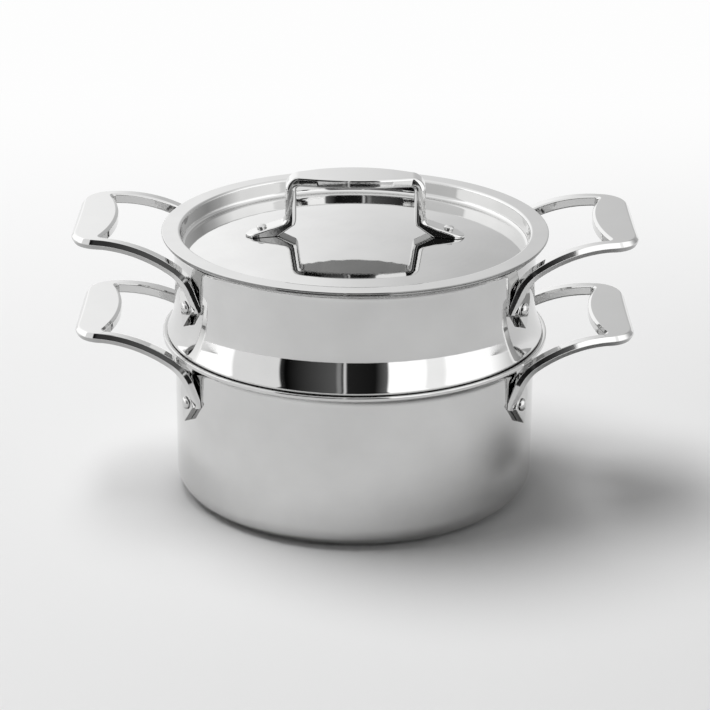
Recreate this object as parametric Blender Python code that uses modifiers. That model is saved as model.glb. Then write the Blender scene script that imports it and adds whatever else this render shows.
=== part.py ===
"""Steamer pot in polished steel: a saucepot, a perforated insert seated in its flared mouth, and a lid.

Metres, +Z up. The origin is the centre of the pot's base, and the handles lie along X.
"""

import math

import bmesh
import bpy
from mathutils import Matrix, Vector

# Clearances: between pieces that touch, round a rivet, and round the lid's plug and the insert's basket
GAP = 0.0003
RIVET_CLEARANCE = 0.0003
PLUG_CLEARANCE = 0.0014
BASKET_CLEARANCE = 0.0017

# Pot: one drawn shell with a rolled-out mouth
POT_RADIUS = 0.104
POT_SHEET = 0.0024
POT_HEIGHT = 0.095
POT_CORNER = 0.012
POT_LIP = 0.007

# Insert: a straight wall, a flared band, a nose and seat on the pot's mouth, and a basket with a sieve floor
INSERT_STEP = 0.0004
INSERT_SHEET = 0.0012
INSERT_RISE = 0.0585
INSERT_LIP = 0.0058
NOSE_RADIUS = 0.0016
SEAT_INNER_TURN = math.radians(150)
SEAT_OUTER_TURN = math.radians(112)
BAND_TURN = math.radians(26)
BASKET_TAPER = 0.0006
BASKET_DEPTH = 0.039
BASKET_SHOULDER = 0.005
BASKET_CORNER = 0.006

# Sieve holes: rings of six, twelve and so on round a centre hole, as many rings as the flat floor takes
HOLE_PITCH = 0.0150
HOLE_RADIUS = 0.0028
HOLE_MARGIN = 0.010
HOLE_SIDES = 6

# Lid: a flange on the insert's rim, a plug in its mouth, and a sunken dome
LID_SHEET = 0.0012
LID_OVERHANG = 0.0011
LID_SINK = 0.002
DOME_RADIUS = 0.588
LID_TOP_FILLET = 0.0015
LID_FOOT_FILLET = 0.0025

# Side handles, alike on pot and insert: a grip pad and two arms that spread and bend down onto the wall
HANDLE_REACH = 0.073
HANDLE_THICKNESS = 0.0060
WALL_SPREAD = 0.0584
PAD_RISE = 0.0388
PAD_DEPTH = 0.0237
PAD_CORNER = 0.014
PAD_INNER_RADIUS = 0.113
PAD_INNER_FILLET = 0.0025
PAD_OUTER_SLANT = 0.0026
PAD_INNER_BEVEL = (0.0016, 0.0011)
ARM_INNER_START = 0.0368
ARM_INNER_SPREAD = 0.167
ARM_OUTER_START = 0.0422
ARM_OUTER_SPREAD = 0.224
ARM_BENDS = ((0.076, math.radians(32), 5), (0.027, math.radians(72), 5))
ARM_TIP_STAND = 0.0022
ARM_TIP_SCALE = 0.35

# Section of the castings: small inner edges, and two outer facets that meet in a crease. The pad's outer end
# has a wider upper facet, and its bowed inner edge a bevel, as (across, down)
EDGE_ROUND = 0.0009
UPPER_FACET = (0.0010, 0.0030)
LOWER_FACET = 0.0020

# Lugs: their outline round the rivet, as (along the wall, height), and the rivets
LUG_THICKNESS = 0.0036
LUG_BLANK = 0.008
LUG_ARM_SIDE = ((0.0098, -0.0008), (0.0104, 0.0150), (0.0083, 0.0160))
LUG_INNER_CORNER = (-0.0095, 0.0120)
LUG_INNER_ROUND = 0.008
LUG_TIP = ((-0.0045, -0.0119), (-0.0031, -0.0125))
RIVET_DROP = 0.0277
INSERT_RIVET_DROP = 0.0289
RIVET_SPREAD = 0.0496
RIVET_SHANK = 0.0025
RIVET_HEAD = 0.0042
RIVET_DOME = 0.0024
RIVET_INNER_HEAD = 0.0050
RIVET_INNER_DOME = 0.0015

# Lid handle: a barrel-shaped grip on two arms, each with a wedge foot riveted to the dome
BRIDGE_RISE = 0.0342
BRIDGE_SAG = 0.0010
BRIDGE_THICKNESS = 0.0055
BRIDGE_HALF_LENGTH = 0.0399
BRIDGE_HALF_WIDTH = 0.0129
BRIDGE_NECK = 0.0320
BRIDGE_GRIP_STEPS = (0.0, 0.012, 0.022)
BRIDGE_ARM = 0.0057
BRIDGE_ARM_HALF_WIDTH = 0.0065
BRIDGE_OUTER_CORNER = 0.008
BRIDGE_INNER_CORNER = 0.0025
FOOT_LENGTH = 0.0227
FOOT_HEEL = 0.0075
FOOT_HEEL_FILLET = 0.0045
FOOT_TIP_RISE = 0.0008
FOOT_TIP_HALF_WIDTH = 0.0018
FOOT_INNER_RISE = 0.010
FOOT_INNER_FILLET = 0.012
FOOT_BLANK = 0.002
FOOT_STEPS = (0.3, 0.62, 0.86, 1.0)
LID_RIVET_EDGE = 0.0093
LID_RIVET_SEAT = 0.0046
LID_RIVET_DOME = 0.0018

# Length of the drills, and depth of the cutters that seat the rivet heads and the lid handle's feet
DRILL = 0.03
SEAT_CUT = 0.01

# Fineness of the round forms
SEGMENTS = 40
RIVET_SEGMENTS = 10
DOME_STEPS = 3
PAD_STEPS = 4
CORNER_STEPS = 4
TIP_STEPS = 3

# Heights and radii that follow
INSERT_RADIUS = POT_RADIUS - INSERT_STEP
INSERT_TOP = POT_HEIGHT + INSERT_RISE
RIVET_HEIGHT = POT_HEIGHT - RIVET_DROP
INSERT_RIVET_HEIGHT = INSERT_TOP - INSERT_RIVET_DROP
BASKET_RADIUS = POT_RADIUS - POT_SHEET - RIVET_INNER_DOME - BASKET_CLEARANCE
BASKET_FLOOR = POT_HEIGHT - BASKET_DEPTH
SIEVE_RADIUS = BASKET_RADIUS - BASKET_TAPER - BASKET_CORNER - HOLE_MARGIN
LID_RADIUS = INSERT_RADIUS + INSERT_LIP + LID_OVERHANG
LID_TOP = INSERT_TOP + GAP + LID_SHEET
DOME_TOP = LID_TOP - LID_SINK
PLUG_RADIUS = INSERT_RADIUS - INSERT_SHEET - PLUG_CLEARANCE
FOOT_TIP = BRIDGE_HALF_LENGTH + FOOT_LENGTH
LID_RIVET_REACH = FOOT_TIP - LID_RIVET_EDGE


def clear_scene():
    for item in list(bpy.data.objects):
        bpy.data.objects.remove(item, do_unlink=True)


def new_collection(name):
    made = bpy.data.collections.new(name)
    bpy.context.scene.collection.children.link(made)
    return made


def steel(name, shade, roughness):
    made = bpy.data.materials.new(name)
    made.use_nodes = True
    surface = made.node_tree.nodes["Principled BSDF"]
    surface.inputs["Base Color"].default_value = (shade, shade, shade, 1.0)
    surface.inputs["Metallic"].default_value = 1.0
    surface.inputs["Roughness"].default_value = roughness
    made.diffuse_color = (shade, shade, shade, 1.0)
    return made


def add_object(name, mesh, collection, finish=None):
    made = bpy.data.objects.new(name, mesh)
    collection.objects.link(made)
    if finish:
        mesh.materials.append(finish)
    return made


def mesh_from(form, name):
    bmesh.ops.recalc_face_normals(form, faces=form.faces)
    mesh = bpy.data.meshes.new(name)
    form.to_mesh(mesh)
    form.free()
    mesh.shade_smooth()
    mesh.set_sharp_from_angle(angle=math.radians(35))
    return mesh


def as_cutter(piece):
    piece.hide_render = True
    piece.display_type = "WIRE"
    return piece


def cutter(name, mesh):
    return as_cutter(add_object(name, mesh, CUTTERS))


def boolean(target, tool, operation):
    step = target.modifiers.new(tool.name, "BOOLEAN")
    step.operation = operation
    step.solver = "EXACT"
    step.object = tool


def arc(centre, radius, start, end, steps):
    """Points of an arc in the profile plane, both ends included."""
    turns = [start + (end - start) * i / steps for i in range(steps + 1)]
    return [(centre[0] + radius * math.cos(t), centre[1] + radius * math.sin(t)) for t in turns]


def fillet(before, corner, after, radius, steps):
    """Points of the arc that rounds the corner between two straight runs."""
    corner = Vector(corner)
    to_before = (Vector(before) - corner).normalized()
    to_after = (Vector(after) - corner).normalized()
    half = to_before.angle(to_after) / 2
    centre = corner + (to_before + to_after).normalized() * radius / math.sin(half)
    first = corner + to_before * radius / math.tan(half) - centre
    last = corner + to_after * radius / math.tan(half) - centre
    start = math.atan2(first.y, first.x)
    turn = (math.atan2(last.y, last.x) - start + math.pi) % (2 * math.pi) - math.pi
    return arc(centre, radius, start, start + turn, steps)


def turned(name, profile, collection, finish=None, segments=SEGMENTS):
    """Turns a profile of (radius, height) points about Z. It runs down its outer side."""
    mesh = bpy.data.meshes.new(name)
    edges = [(i, i + 1) for i in range(len(profile) - 1)]
    mesh.from_pydata([(r, 0.0, z) for r, z in profile], edges, [])
    made = add_object(name, mesh, collection, finish)
    screw = made.modifiers.new("turn", "SCREW")
    screw.axis = "Z"
    screw.steps = segments
    screw.render_steps = segments
    screw.use_merge_vertices = True
    screw.merge_threshold = 0.00001
    screw.use_smooth_shade = True
    return made


def flatten_floor(piece):
    """Makes one face of the fan of triangles that the turning leaves on the flat floor."""
    step = piece.modifiers.new("flat_floor", "DECIMATE")
    step.decimate_type = "DISSOLVE"
    step.angle_limit = math.radians(0.2)


def thicken(piece, sheet):
    """Gives a turned surface the thickness of its sheet, on the inner side."""
    shell = piece.modifiers.new("sheet", "SOLIDIFY")
    shell.thickness = sheet
    shell.offset = -1.0
    shell.use_even_offset = True
    shell.use_quality_normals = True


def add_cylinder(form, radius, depth, place, sides):
    bmesh.ops.create_cone(form, cap_ends=True, segments=sides, radius1=radius, radius2=radius,
                          depth=depth, matrix=place)


def radial_place(turn, height, distance):
    """Place with +Z pointing out from the pot's axis at this turn about it, and +Y along the wall."""
    return (Matrix.Rotation(turn, 4, "Z") @ Matrix.Translation((distance, 0.0, height))
            @ Matrix.Rotation(math.pi / 2, 4, "Y"))


def rivet_turn(wall_radius):
    return math.asin(RIVET_SPREAD / wall_radius)


def rivet_turns(wall_radius):
    turn = rivet_turn(wall_radius)
    return {"right_front": -turn, "right_rear": turn,
            "left_rear": math.pi - turn, "left_front": math.pi + turn}


def rolled_lip(wall_radius, lip, height, steps):
    """Underside of a rolled-out lip, from its edge in and down to the wall."""
    lip_end = (wall_radius + lip, height)
    return [lip_end] + fillet(lip_end, (wall_radius, height), (wall_radius, 0.0), lip, steps)[1:]


def pot_lip():
    return rolled_lip(POT_RADIUS, POT_LIP, POT_HEIGHT - POT_SHEET, 5)


def pot_profile():
    """Outer side of the pot, from its lip down to the middle of its base."""
    lip = pot_lip()
    base_centre = (0.0, 0.0)
    return lip + fillet(lip[-1], (POT_RADIUS, 0.0), base_centre, POT_CORNER, 4) + [base_centre]


def insert_seat():
    """Arc of the insert's underside, concentric with the pot's flared mouth."""
    centre = (POT_RADIUS + POT_LIP, POT_HEIGHT - POT_SHEET - POT_LIP)
    return arc(centre, POT_LIP + POT_SHEET + GAP, SEAT_OUTER_TURN, SEAT_INNER_TURN, 3)


def insert_nose():
    """Small round nose between the flared band and the seat."""
    end = insert_seat()[0]
    turn = SEAT_OUTER_TURN
    centre = (end[0] + NOSE_RADIUS * math.cos(turn), end[1] + NOSE_RADIUS * math.sin(turn))
    return arc(centre, NOSE_RADIUS, BAND_TURN, turn - math.pi, 4)


def insert_band():
    """Concave band that leaves the wall along it and flares out to the nose."""
    end = insert_nose()[0]
    radius = (end[0] - INSERT_RADIUS) / (1 - math.cos(BAND_TURN))
    centre = (INSERT_RADIUS + radius, end[1] + radius * math.sin(BAND_TURN))
    return arc(centre, radius, math.pi, math.pi + BAND_TURN, 4)


def insert_lip():
    return rolled_lip(INSERT_RADIUS, INSERT_LIP, INSERT_TOP - INSERT_SHEET, 3)


def insert_profile():
    """Outer side of the insert, from its lip down to the middle of its floor."""
    seat = insert_seat()
    steep = (-math.sin(SEAT_INNER_TURN), math.cos(SEAT_INNER_TURN))
    fall = (seat[-1][0] - BASKET_RADIUS) / -steep[0]
    shoulder = (BASKET_RADIUS, seat[-1][1] + fall * steep[1])
    floor_edge = (BASKET_RADIUS - BASKET_TAPER, BASKET_FLOOR)
    floor_centre = (0.0, BASKET_FLOOR)
    return (insert_lip() + insert_band() + insert_nose()[1:-1] + seat
            + fillet(seat[-1], shoulder, floor_edge, BASKET_SHOULDER, 2)
            + fillet(shoulder, floor_edge, floor_centre, BASKET_CORNER, 3) + [floor_centre])


def dome_height(radius):
    """Height of the lid's shallow dome at this distance from the axis."""
    return DOME_TOP - DOME_RADIUS + math.sqrt(DOME_RADIUS ** 2 - radius ** 2)


def dome_profile(lift, reach, steps):
    return [(reach * i / steps, dome_height(reach * i / steps) + lift) for i in range(steps + 1)]


def lid_profile():
    """Top side of the lid, from the middle out over the dome, up the plug's wall and across the flange."""
    wall = PLUG_RADIUS - LID_SHEET
    dome = dome_profile(0.0, wall - 2 * LID_FOOT_FILLET, DOME_STEPS)
    foot = (wall, dome_height(wall))
    brow = (wall, LID_TOP)
    rim = (LID_RADIUS, LID_TOP)
    return (dome + fillet(dome[-1], foot, brow, LID_FOOT_FILLET, 3)
            + fillet(foot, brow, rim, LID_TOP_FILLET, 2) + [rim])


def sieve_cutter():
    form = bmesh.new()
    height = BASKET_FLOOR + INSERT_SHEET / 2
    for ring in range(int(SIEVE_RADIUS / HOLE_PITCH) + 1):
        holes = max(1, 6 * ring)
        for hole in range(holes):
            turn = Matrix.Rotation(2 * math.pi * hole / holes, 4, "Z")
            place = turn @ Matrix.Translation((ring * HOLE_PITCH, 0.0, height))
            add_cylinder(form, HOLE_RADIUS, 4 * INSERT_SHEET, place, HOLE_SIDES)
    return cutter("sieve_holes", mesh_from(form, "sieve_holes"))


def rivet_hole_cutter(name, wall_radius, height):
    """Holes through a wall and the four lugs on it."""
    form = bmesh.new()
    for turn in rivet_turns(wall_radius).values():
        add_cylinder(form, RIVET_SHANK + RIVET_CLEARANCE, DRILL, radial_place(turn, height, wall_radius),
                     RIVET_SEGMENTS)
    return cutter(name, mesh_from(form, name))


def shell_space(name, top, lip, wall):
    """The space of a shell's lip and wall, with the gap that lugs and arms keep to them."""
    side = [(lip[0][0], top + GAP)] + [(radius, height - GAP) for radius, height in lip] + wall
    reach = [(radius + GAP, height) for radius, height in side]
    return as_cutter(turned(name, [(0.0, reach[0][1])] + reach + [(0.0, reach[-1][1])], CUTTERS))


def pad_fillet_centre():
    """Centre of the small arc between the pad's bowed inner edge and an arm, as (inset, spread)."""
    slope = ARM_INNER_SPREAD
    level = ARM_INNER_START - PAD_INNER_FILLET * math.hypot(1.0, slope)
    bow = PAD_INNER_RADIUS - PAD_DEPTH
    a = 1 + slope ** 2
    b = bow + slope * level
    c = bow ** 2 + level ** 2 - (PAD_INNER_RADIUS + PAD_INNER_FILLET) ** 2
    inset = (-b + math.sqrt(b * b - a * c)) / a
    return inset, slope * inset + level


def pad_stations():
    """Stations of half the pad, as (inner point, outer point, slant of the upper facet, inner bevel).

    The points are (inset, spread) from the middle of the pad's outer edge.
    """
    inset, spread = pad_fillet_centre()
    bow_turn = math.atan2(spread, inset + PAD_INNER_RADIUS - PAD_DEPTH)
    arm_turn = math.atan(ARM_OUTER_SPREAD)
    corner_spread = ARM_OUTER_START + ARM_OUTER_SPREAD * PAD_CORNER - PAD_CORNER / math.cos(arm_turn)
    stations = []
    for i in range(PAD_STEPS):
        turn = bow_turn * i / PAD_STEPS
        inner = (PAD_DEPTH - PAD_INNER_RADIUS * (1 - math.cos(turn)), PAD_INNER_RADIUS * math.sin(turn))
        stations.append((inner, (0.0, corner_spread * i / PAD_STEPS), PAD_OUTER_SLANT, PAD_INNER_BEVEL))
    last_inner = math.pi / 2 - math.atan(ARM_INNER_SPREAD)
    last_outer = math.pi / 2 - arm_turn
    for i in range(CORNER_STEPS + 1):
        inner_turn = -bow_turn + (last_inner + bow_turn) * i / CORNER_STEPS
        outer_turn = last_outer * i / CORNER_STEPS
        inner = (inset - PAD_INNER_FILLET * math.cos(inner_turn),
                 spread + PAD_INNER_FILLET * math.sin(inner_turn))
        outer = (PAD_CORNER * (1 - math.cos(outer_turn)), corner_spread + PAD_CORNER * math.sin(outer_turn))
        slant = PAD_OUTER_SLANT + (UPPER_FACET[0] - PAD_OUTER_SLANT) * i / CORNER_STEPS
        bevel = PAD_INNER_BEVEL if i < CORNER_STEPS else (EDGE_ROUND, EDGE_ROUND)
        stations.append((inner, outer, slant, bevel))
    return stations


def arm_path():
    """Top line of an arm seen from the side, as (inset, drop, slope): it bends down onto the wall."""
    run = 0.0
    drop = 0.0
    slope = 0.0
    path = []
    for radius, last_slope, steps in ARM_BENDS:
        turn = (last_slope - slope) / steps
        for _ in range(steps):
            run += radius * (math.sin(slope + turn) - math.sin(slope))
            drop += radius * (math.cos(slope) - math.cos(slope + turn))
            slope += turn
            path.append((run, drop, slope))
    fall = (PAD_RISE - drop) / TIP_STEPS
    for _ in range(TIP_STEPS):
        run += fall / math.tan(slope)
        drop += fall
        path.append((run, drop, slope))
    start = HANDLE_REACH - ARM_TIP_STAND - run
    return [(start + run, drop, slope) for run, drop, slope in path]


def handle_section(width, scale, slant, bevel):
    """Section of the casting, as (across, down) from its inner top edge."""
    edge = min(EDGE_ROUND, 0.3 * width)
    slant = min(slant * scale, 0.3 * width)
    lower = min(LOWER_FACET, 0.4 * width)
    depth = HANDLE_THICKNESS * scale
    return [(min(bevel[0], 0.3 * width), 0.0), (width - slant, 0.0), (width, UPPER_FACET[1] * scale),
            (width - lower, depth), (edge, depth), (0.0, depth - edge), (0.0, min(bevel[1], 0.3 * width))]


def handle_rings(root):
    """Rings of points of half a side handle, from the middle of its pad to the tip of its arm."""
    outer_edge = root + HANDLE_REACH
    stations = [(inner, outer, 0.0, 0.0, 1.0, slant, bevel) for inner, outer, slant, bevel in pad_stations()]
    path = arm_path()
    for i, (inset, drop, slope) in enumerate(path):
        left = (len(path) - 1 - i) / TIP_STEPS
        scale = ARM_TIP_SCALE + (1 - ARM_TIP_SCALE) * min(1.0, left)
        outer = (inset, ARM_OUTER_START + ARM_OUTER_SPREAD * inset)
        width = outer[1] - ARM_INNER_START - ARM_INNER_SPREAD * inset
        inner = (inset, outer[1] - width * scale)
        stations.append((inner, outer, drop, slope, scale, UPPER_FACET[0], (EDGE_ROUND, EDGE_ROUND)))
    rings = []
    for inner, outer, drop, slope, scale, slant, bevel in stations:
        across = Vector((inner[0] - outer[0], outer[1] - inner[1]))
        width = across.length
        across = across / width
        ring = []
        for along, down in handle_section(width, scale, slant, bevel):
            x = outer_edge - inner[0] + across.x * along + math.sin(slope) * down
            y = inner[1] + across.y * along
            ring.append((x, y, PAD_RISE - drop - math.cos(slope) * down))
        rings.append(ring)
    return rings


def loft(rings):
    """Skin over rings of points, capped at the last ring and open at the first, for its mirror image."""
    form = bmesh.new()
    rows = [[form.verts.new(point) for point in ring] for ring in rings]
    for row, following in zip(rows, rows[1:]):
        for i in range(len(row)):
            j = (i + 1) % len(row)
            form.faces.new((row[i], row[j], following[j], following[i]))
    form.faces.new(rows[-1])
    return form


def mirrored(piece, axis):
    step = piece.modifiers.new("mirror", "MIRROR")
    step.use_axis = tuple(i == axis for i in range(3))
    step.merge_threshold = 0.00001


def lug_outline():
    """Outline of a lug in the plane of the wall, (along the wall, height) from its rivet."""
    rounded = fillet(LUG_ARM_SIDE[-1], LUG_INNER_CORNER, LUG_TIP[0], LUG_INNER_ROUND, 3)
    return list(LUG_ARM_SIDE) + rounded + list(LUG_TIP)


def lug_tool(name, wall_radius):
    """Both lugs of a handle, as thick flat blanks that reach into the wall until it is cut from them."""
    form = bmesh.new()
    seat = wall_radius + GAP + LUG_THICKNESS
    for side in (1, -1):
        place = Matrix.Rotation(side * rivet_turn(wall_radius), 4, "Z")
        points = [place @ Vector((seat, side * along, height)) for along, height in lug_outline()]
        face = form.faces.new([form.verts.new(point) for point in points])
        moved = bmesh.ops.extrude_face_region(form, geom=[face])
        verts = [item for item in moved["geom"] if isinstance(item, bmesh.types.BMVert)]
        bmesh.ops.translate(form, verts=verts, vec=place @ Vector((-LUG_BLANK, 0.0, 0.0)))
    return cutter(name, mesh_from(form, name))


def side_handles(prefix, wall_radius, shell, height, finish, holes):
    """A left and a right cast handle, riveted to a wall at this height and cut clear of its shell."""
    root = math.sqrt(wall_radius ** 2 - WALL_SPREAD ** 2)
    for word, turn in (("right", 0.0), ("left", math.pi)):
        mesh = mesh_from(loft(handle_rings(root)), prefix + "_handle")
        handle = add_object(prefix + "_handle_" + word, mesh, PARTS, finish)
        handle.location = (0.0, 0.0, height)
        handle.rotation_euler = (0.0, 0.0, turn)
        mirrored(handle, 1)
        lugs = lug_tool(prefix + "_lugs_" + word, wall_radius)
        lugs.parent = handle
        boolean(handle, lugs, "UNION")
        boolean(handle, shell, "DIFFERENCE")
        boolean(handle, holes, "DIFFERENCE")


def quarter_turns(steps):
    return [math.pi / 2 * i / steps for i in range(steps + 1)]


def rivet_profile(dome, grip, inner_head, inner_dome):
    """A rivet from the top of its domed head down its shank to its low inner head."""
    cap = [(RIVET_HEAD * math.sin(t), dome * math.cos(t)) for t in quarter_turns(3)]
    shank = [(RIVET_SHANK, 0.0), (RIVET_SHANK, -grip)]
    tail = [(inner_head * math.cos(t), -grip - inner_dome * math.sin(t)) for t in quarter_turns(3)]
    return cap + shank + tail[:-1] + [(0.0, -grip - inner_dome)]


def wall_rivets(prefix, wall_radius, sheet, height, finish):
    head_seat = wall_radius + LUG_THICKNESS + 2 * GAP
    flat = (wall_radius - sheet) * math.cos(math.pi / SEGMENTS)
    inner_seat = math.sqrt(flat ** 2 - RIVET_INNER_HEAD ** 2) - GAP
    profile = rivet_profile(RIVET_DOME, head_seat - inner_seat, RIVET_INNER_HEAD, RIVET_INNER_DOME)
    for corner, turn in rivet_turns(wall_radius).items():
        rivet = turned(f"{prefix}_rivet_{corner}", profile, PARTS, finish, RIVET_SEGMENTS)
        rivet.matrix_world = radial_place(turn, height, head_seat)


def bridge_half_width(reach):
    """Half width of the lid handle: a barrel at the grip, even down the arm, round at the foot's tip."""
    bulge = max(0.0, 1 - (reach / BRIDGE_NECK) ** 2)
    past = max(0.0, reach - (FOOT_TIP - BRIDGE_ARM_HALF_WIDTH))
    even = math.sqrt(max(FOOT_TIP_HALF_WIDTH ** 2, BRIDGE_ARM_HALF_WIDTH ** 2 - past ** 2))
    return even + (BRIDGE_HALF_WIDTH - BRIDGE_ARM_HALF_WIDTH) * bulge


def bridge_sides():
    """Outer and inner side of half the lid handle, as (reach, height), from its middle to its foot's tip."""
    top = DOME_TOP + BRIDGE_RISE
    under = top - BRIDGE_THICKNESS
    lid = dome_height(BRIDGE_HALF_LENGTH)
    heel = lid + FOOT_HEEL
    arm_inner = BRIDGE_HALF_LENGTH - BRIDGE_ARM
    corner = (BRIDGE_HALF_LENGTH, top - BRIDGE_SAG)
    outer_heel = (BRIDGE_HALF_LENGTH, heel)
    tip = (FOOT_TIP, dome_height(FOOT_TIP) + FOOT_TIP_RISE)
    inner_corner = (arm_inner, under - BRIDGE_SAG)
    inner_heel = (arm_inner, lid + FOOT_INNER_RISE)
    root = (BRIDGE_HALF_LENGTH, lid - FOOT_BLANK / 2)
    sag = [BRIDGE_SAG * (reach / BRIDGE_HALF_LENGTH) ** 2 for reach in BRIDGE_GRIP_STEPS]
    outer = [(reach, top - drop) for reach, drop in zip(BRIDGE_GRIP_STEPS, sag)]
    inner = [(reach, under - drop) for reach, drop in zip(BRIDGE_GRIP_STEPS, sag)]
    outer += fillet(outer[-1], corner, outer_heel, BRIDGE_OUTER_CORNER, 5)
    inner += fillet(inner[-1], inner_corner, inner_heel, BRIDGE_INNER_CORNER, 5)
    outer += fillet(corner, outer_heel, tip, FOOT_HEEL_FILLET, 4)
    inner += fillet(inner_corner, inner_heel, root, FOOT_INNER_FILLET, 4)
    for share in FOOT_STEPS:
        reach = BRIDGE_HALF_LENGTH + FOOT_LENGTH * share
        outer.append((reach, heel + (tip[1] - heel) * share))
        inner.append((reach, dome_height(reach) - FOOT_BLANK))
    return outer, inner


def bridge_rings():
    """Rings of points of half the lid handle, from the middle of its grip to the tip of its foot."""
    rings = []
    for (x, z), (u, w) in zip(*bridge_sides()):
        half = bridge_half_width(x)
        edge = min(EDGE_ROUND, 0.3 * half)
        step = Vector((u - x, w - z)).normalized() * edge
        rings.append([(x, half - edge, z), (x + step.x, half, z + step.y), (u - step.x, half, w - step.y),
                      (u, half - edge, w), (u, edge - half, w), (u - step.x, -half, w - step.y),
                      (x + step.x, -half, z + step.y), (x, edge - half, z)])
    return rings


def lid_rivet_place(side, lift):
    """Place on the dome under a foot, with +Z along the dome's normal, lifted along it."""
    tilt = math.asin(LID_RIVET_REACH / DOME_RADIUS)
    surface = Vector((side * LID_RIVET_REACH, 0.0, dome_height(LID_RIVET_REACH)))
    tilted = Matrix.Translation(surface) @ Matrix.Rotation(side * tilt, 4, "Y")
    return tilted @ Matrix.Translation((0.0, 0.0, lift))


def lid_hole_cutters():
    """The rivet holes through lid and feet, and the flat seats that the rivet heads sink into."""
    holes = bmesh.new()
    seats = bmesh.new()
    seat_radius = RIVET_HEAD + 2 * RIVET_CLEARANCE
    for side in (1, -1):
        add_cylinder(holes, RIVET_SHANK + RIVET_CLEARANCE, DRILL, lid_rivet_place(side, 0.0), RIVET_SEGMENTS)
        seat = lid_rivet_place(side, LID_RIVET_SEAT + SEAT_CUT / 2)
        add_cylinder(seats, seat_radius, SEAT_CUT, seat, RIVET_SEGMENTS)
    return (cutter("lid_rivet_holes", mesh_from(holes, "lid_rivet_holes")),
            cutter("lid_rivet_seats", mesh_from(seats, "lid_rivet_seats")))


def lid_space():
    """The space that the lid's dome takes, with the gap that the feet of its handle keep to it."""
    over = dome_profile(GAP, 1.2 * FOOT_TIP, 6)
    reach, edge = over[-1]
    return as_cutter(turned("lid_space", over + [(reach, edge - SEAT_CUT), (0.0, edge - SEAT_CUT)], CUTTERS))


def build_pot():
    holes = rivet_hole_cutter("pot_rivet_holes", POT_RADIUS, RIVET_HEIGHT)
    body = turned("pot_body", pot_profile(), PARTS, steel("pot_steel", 0.62, 0.28))
    thicken(body, POT_SHEET)
    boolean(body, holes, "DIFFERENCE")
    shell = shell_space("pot_shell_space", POT_HEIGHT, pot_lip(), [(POT_RADIUS, 0.0)])
    side_handles("pot", POT_RADIUS, shell, RIVET_HEIGHT, steel("pot_handle_steel", 0.66, 0.10), holes)
    wall_rivets("pot", POT_RADIUS, POT_SHEET, RIVET_HEIGHT, steel("pot_rivet_steel", 0.60, 0.15))


def build_insert():
    holes = rivet_hole_cutter("insert_rivet_holes", INSERT_RADIUS, INSERT_RIVET_HEIGHT)
    body = turned("insert_body", insert_profile(), PARTS, steel("insert_steel", 0.66, 0.08))
    flatten_floor(body)
    thicken(body, INSERT_SHEET)
    boolean(body, holes, "DIFFERENCE")
    boolean(body, sieve_cutter(), "DIFFERENCE")
    shell = shell_space("insert_shell_space", INSERT_TOP, insert_lip(), insert_band())
    casting = steel("insert_handle_steel", 0.66, 0.10)
    side_handles("insert", INSERT_RADIUS, shell, INSERT_RIVET_HEIGHT, casting, holes)
    finish = steel("insert_rivet_steel", 0.60, 0.15)
    wall_rivets("insert", INSERT_RADIUS, INSERT_SHEET, INSERT_RIVET_HEIGHT, finish)


def build_lid():
    holes, seats = lid_hole_cutters()
    cover = turned("lid_cover", lid_profile(), PARTS, steel("lid_steel", 0.66, 0.08))
    thicken(cover, LID_SHEET)
    boolean(cover, holes, "DIFFERENCE")
    bridge = add_object("lid_handle", mesh_from(loft(bridge_rings()), "lid_handle"), PARTS,
                        steel("lid_handle_steel", 0.66, 0.10))
    mirrored(bridge, 0)
    boolean(bridge, lid_space(), "DIFFERENCE")
    for tool in (holes, seats):
        boolean(bridge, tool, "DIFFERENCE")
    grip = LID_RIVET_SEAT + LID_SHEET + 2 * GAP
    profile = rivet_profile(LID_RIVET_DOME, grip, RIVET_HEAD, RIVET_INNER_DOME)
    finish = steel("lid_rivet_steel", 0.60, 0.15)
    for word, side in (("right", 1), ("left", -1)):
        rivet = turned(f"lid_rivet_{word}", profile, PARTS, finish, RIVET_SEGMENTS)
        rivet.matrix_world = lid_rivet_place(side, LID_RIVET_SEAT + GAP)


clear_scene()
PARTS = new_collection("steamer_pot")
CUTTERS = new_collection("cutters")
build_pot()
build_insert()
build_lid()
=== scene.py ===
# %% [markdown]
# # A stacked steamer pot in polished steel
# The real object is three pieces that rest in one another: a saucepot, a steamer insert and a lid. Its look
# comes from two things, clean turned shapes and what the steel mirrors, so this lesson spends its time on
# exact profiles and on the studio round the pot. The frame gives the main sizes, and nothing in it is moved.

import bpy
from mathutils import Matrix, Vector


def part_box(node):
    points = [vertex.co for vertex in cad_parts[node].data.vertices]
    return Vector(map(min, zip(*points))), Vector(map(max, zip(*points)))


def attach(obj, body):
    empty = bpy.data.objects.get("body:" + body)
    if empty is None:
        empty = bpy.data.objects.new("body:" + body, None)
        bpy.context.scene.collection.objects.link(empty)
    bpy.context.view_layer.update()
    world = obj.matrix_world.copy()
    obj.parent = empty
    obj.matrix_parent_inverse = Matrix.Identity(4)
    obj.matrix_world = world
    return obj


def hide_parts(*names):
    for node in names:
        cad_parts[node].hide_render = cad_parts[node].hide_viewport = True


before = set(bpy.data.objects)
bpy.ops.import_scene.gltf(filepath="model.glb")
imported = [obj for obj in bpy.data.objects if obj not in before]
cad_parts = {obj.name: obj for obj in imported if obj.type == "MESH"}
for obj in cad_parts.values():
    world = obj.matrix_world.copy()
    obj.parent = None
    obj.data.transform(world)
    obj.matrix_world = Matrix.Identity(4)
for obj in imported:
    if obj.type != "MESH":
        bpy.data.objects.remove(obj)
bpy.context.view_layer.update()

# %% Modules and units
from math import asin, atan, atan2, cos, dist, hypot, pi, radians, sin, sqrt, tan

import bmesh
import bpy
from mathutils import Matrix, Vector

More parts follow.
